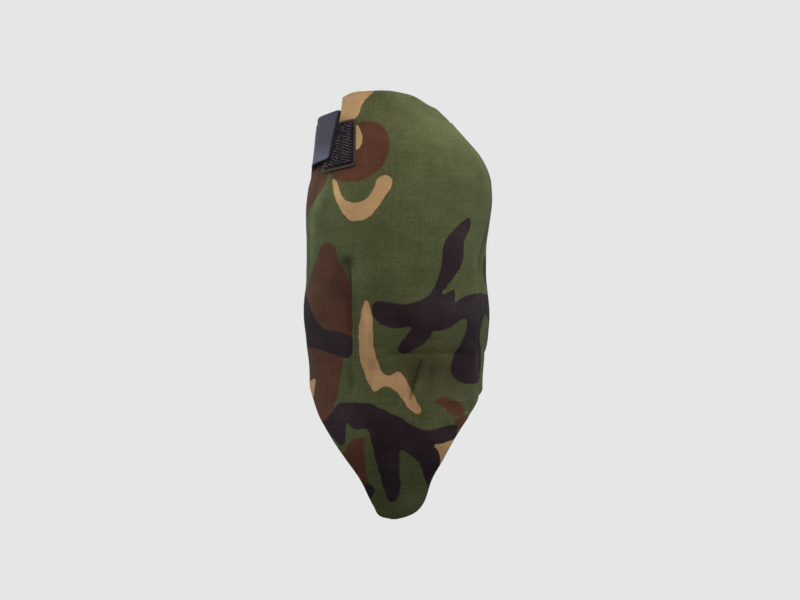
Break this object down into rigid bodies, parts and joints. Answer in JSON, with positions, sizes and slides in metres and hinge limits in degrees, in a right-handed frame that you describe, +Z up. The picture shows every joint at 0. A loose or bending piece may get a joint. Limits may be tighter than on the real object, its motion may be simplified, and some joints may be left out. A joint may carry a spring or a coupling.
{
  "type": "face mask",
  "caption": "Neoprene half face mask with neck cover and pointed bib in woodland camouflage, closed behind the ear by a hook-and-loop strap.",
  "frame": {"origin": "centre of the bounding box in X and Y, at the bib's lowest point", "axes": "+Z up along the neck; +X towards the nose side; -Y towards the bib and the wearer's right cheek. The centre-front seam lies 72 degrees from -Y towards +X"},
  "size_m": [0.149, 0.1198, 0.3318],
  "materials": {
    "camo_knit": "fine nylon knit printed in green, brown, black and tan woodland blobs, matte with a soft sheen at grazing angles",
    "neoprene_foam": "closed-cell foam, seen only at the raw-cut edges",
    "lining_jersey": "black brushed jersey",
    "seam_thread": "black polyester thread",
    "strap_webbing": "smooth slate-blue woven back of a loop tape",
    "loop_pile": "black brushed loop pile",
    "hook_tape": "black-purple nylon hook tape in wavy rows with a flat selvedge"
  },
  "bodies": {
    "face": {"centre_front_stitch": "seam_thread", "chin_dart_stitch_left": "seam_thread", "chin_dart_stitch_right": "seam_thread", "face_left_core": "neoprene_foam", "face_left_cover": "camo_knit", "face_left_lining": "lining_jersey", "face_right_core": "neoprene_foam", "face_right_cover": "camo_knit", "face_right_lining": "lining_jersey", "hook_field": "hook_tape", "hook_tape_base": "hook_tape", "hook_tape_stitch": "seam_thread", "side_dart_stitch_left": "seam_thread", "side_dart_stitch_right": "seam_thread"},
    "wing_left": {"strap_sewn_end": "strap_webbing", "strap_sewn_end_stitch": "seam_thread", "wing_left_core": "neoprene_foam", "wing_left_cover": "camo_knit", "wing_left_lining": "lining_jersey"},
    "wing_right": {"wing_right_core": "neoprene_foam", "wing_right_cover": "camo_knit", "wing_right_lining": "lining_jersey"},
    "strap": {"strap_webbing": "strap_webbing", "strap_loop_pile": "loop_pile"},
    "bib": {"bib_core": "neoprene_foam", "bib_cover": "camo_knit", "bib_lining": "lining_jersey"}
  },
  "joints": [
    {"name": "wing_left_open", "type": "hinge", "parent": "face", "child": "wing_left", "pos_m": [-0.00249, 0.05645, 0.2185], "axis": [-0.0014, 0.0384, -0.9993], "range_deg": [0, 70]},
    {"name": "wing_right_open", "type": "hinge", "parent": "face", "child": "wing_right", "pos_m": [-0.06735, -0.02449, 0.16444], "axis": [-0.0189, -0.0127, 0.9997], "range_deg": [0, 55]},
    {"name": "strap_peel", "type": "hinge", "parent": "wing_left", "child": "strap", "pos_m": [-0.06828, -0.00719, 0.28957], "axis": [-0.2172, 0.0517, -0.9748], "range_deg": [0, 140]},
    {"name": "bib_lift", "type": "hinge", "parent": "face", "child": "bib", "pos_m": [-0.00042, -0.0581, 0.07838], "axis": [-1, 0, 0], "range_deg": [0, 35]}
  ]
}
